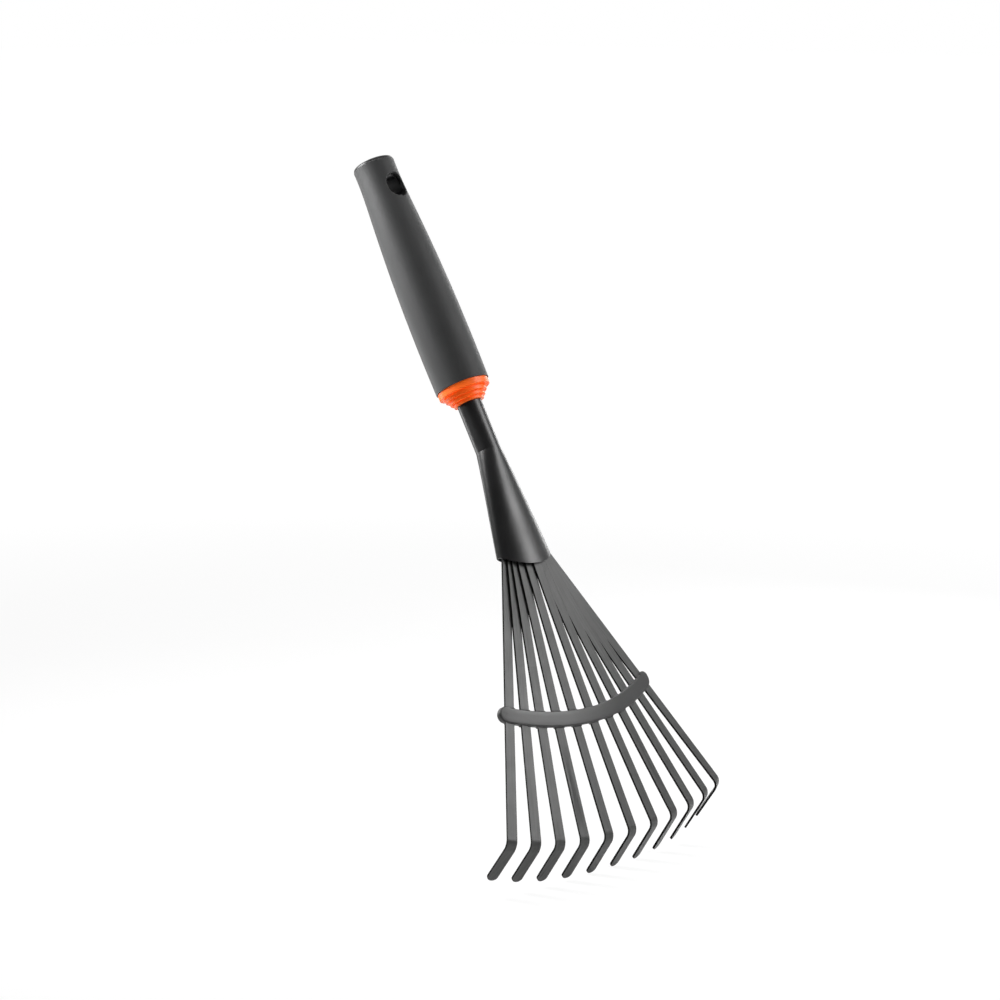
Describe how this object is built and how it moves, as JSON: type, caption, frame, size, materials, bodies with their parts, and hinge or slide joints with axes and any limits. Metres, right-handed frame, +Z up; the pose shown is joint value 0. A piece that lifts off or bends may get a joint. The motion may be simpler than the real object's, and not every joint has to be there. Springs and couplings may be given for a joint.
{
  "type": "hand rake",
  "caption": "Hand rake for leaves and borders: spring-steel strips fan out of a formed steel socket, held by a spreader bar, on a soft-covered tapered grip with a hanging hole.",
  "frame": {"origin": "centre of the hanging hole, on the handle axis", "axes": "+Z up with the rake in its working stance, the handle leaning 29.6 degrees from +Z towards +Y; +X across the fan; -Y the outer, convex side"},
  "size_m": [0.1776, 0.1994, 0.3732],
  "materials": {
    "soft_grip": "matte, fine grain",
    "grip_core": "satin",
    "orange_collar": "satin",
    "black_coat": "satin powder coat",
    "tine_coat": "matte powder coat",
    "spreader": "satin"
  },
  "bodies": {
    "root": {"grip_cover": "soft_grip", "grip_core": "grip_core", "collar": "orange_collar", "shaft_socket": "black_coat", "tine_01": "tine_coat", "tine_02": "tine_coat", "tine_03": "tine_coat", "tine_04": "tine_coat", "tine_05": "tine_coat", "tine_06": "tine_coat", "tine_07": "tine_coat", "tine_08": "tine_coat", "tine_09": "tine_coat", "tine_10": "tine_coat", "tine_11": "tine_coat", "spreader_bar": "spreader"}
  },
  "joints": []
}
